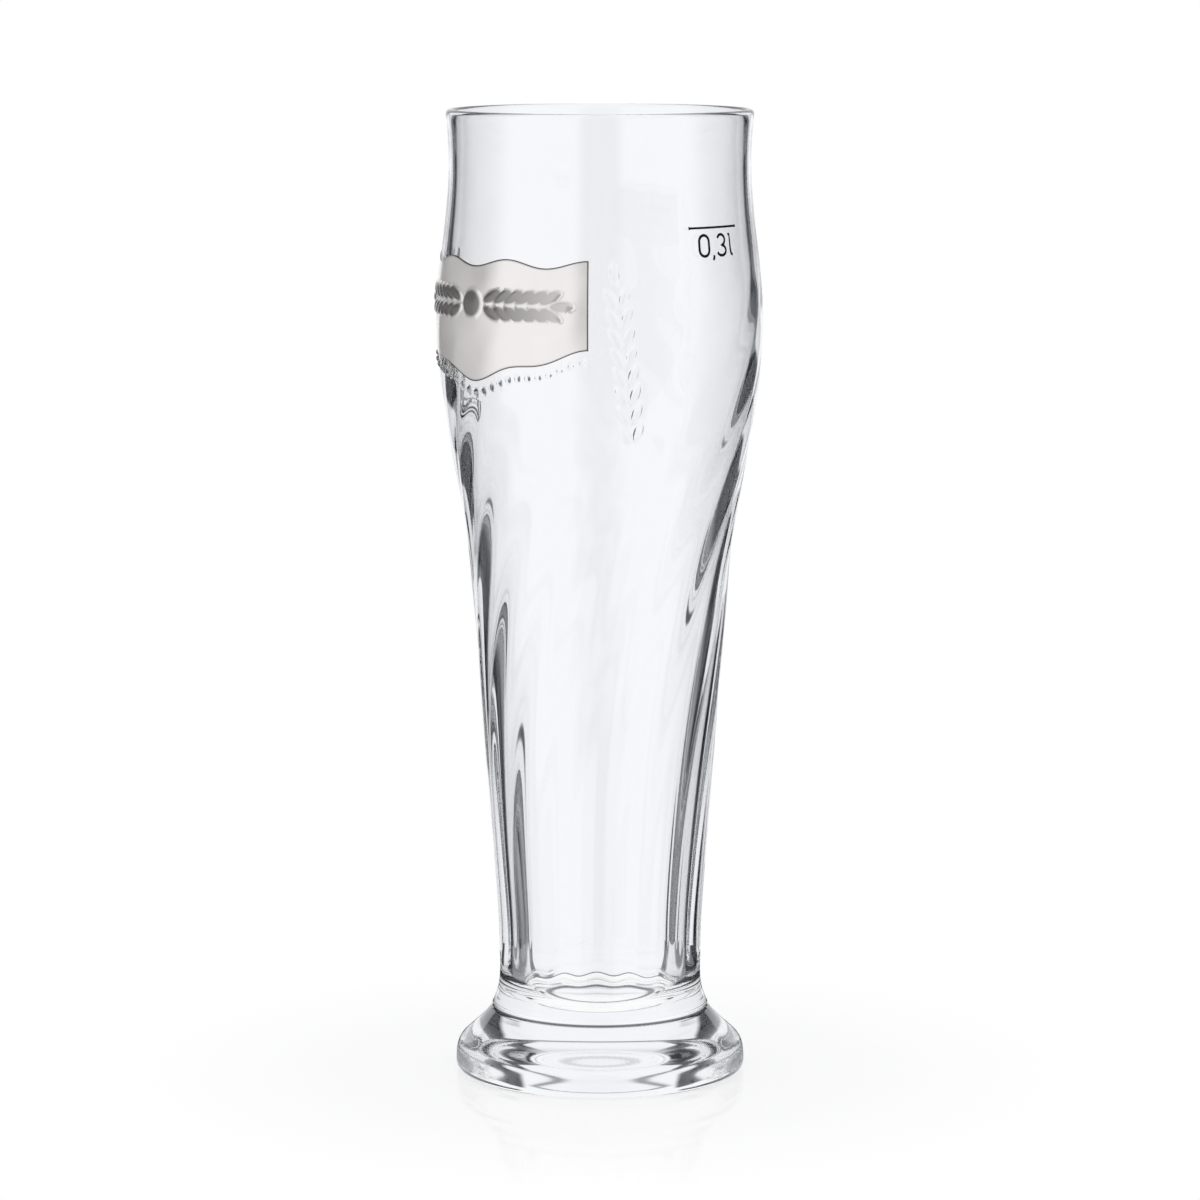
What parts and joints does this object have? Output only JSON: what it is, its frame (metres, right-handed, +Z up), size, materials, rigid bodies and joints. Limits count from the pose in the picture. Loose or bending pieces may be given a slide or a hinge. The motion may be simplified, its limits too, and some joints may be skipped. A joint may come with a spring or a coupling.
{
  "type": "wheat beer glass",
  "caption": "Tall clear wheat beer glass: belly under a flared rim, wall with twisted ribs tapering to a waist, flared solid foot, silver label and fill line.",
  "frame": {"origin": "centre of the foot, on the table", "axes": "+Z up along the axis of the glass; -Y is the front that the picture shows, +X to its right"},
  "size_m": [0.068, 0.0679, 0.2015],
  "materials": {
    "clear_glass": "polished, clear, very faintly blue-grey",
    "fired_silver": "bright fired silver with a soft relief",
    "black_print": "fired black print"
  },
  "bodies": {
    "root": {"bowl": "clear_glass", "foot": "clear_glass", "silver_label": "fired_silver", "fill_line": "black_print"}
  },
  "joints": []
}
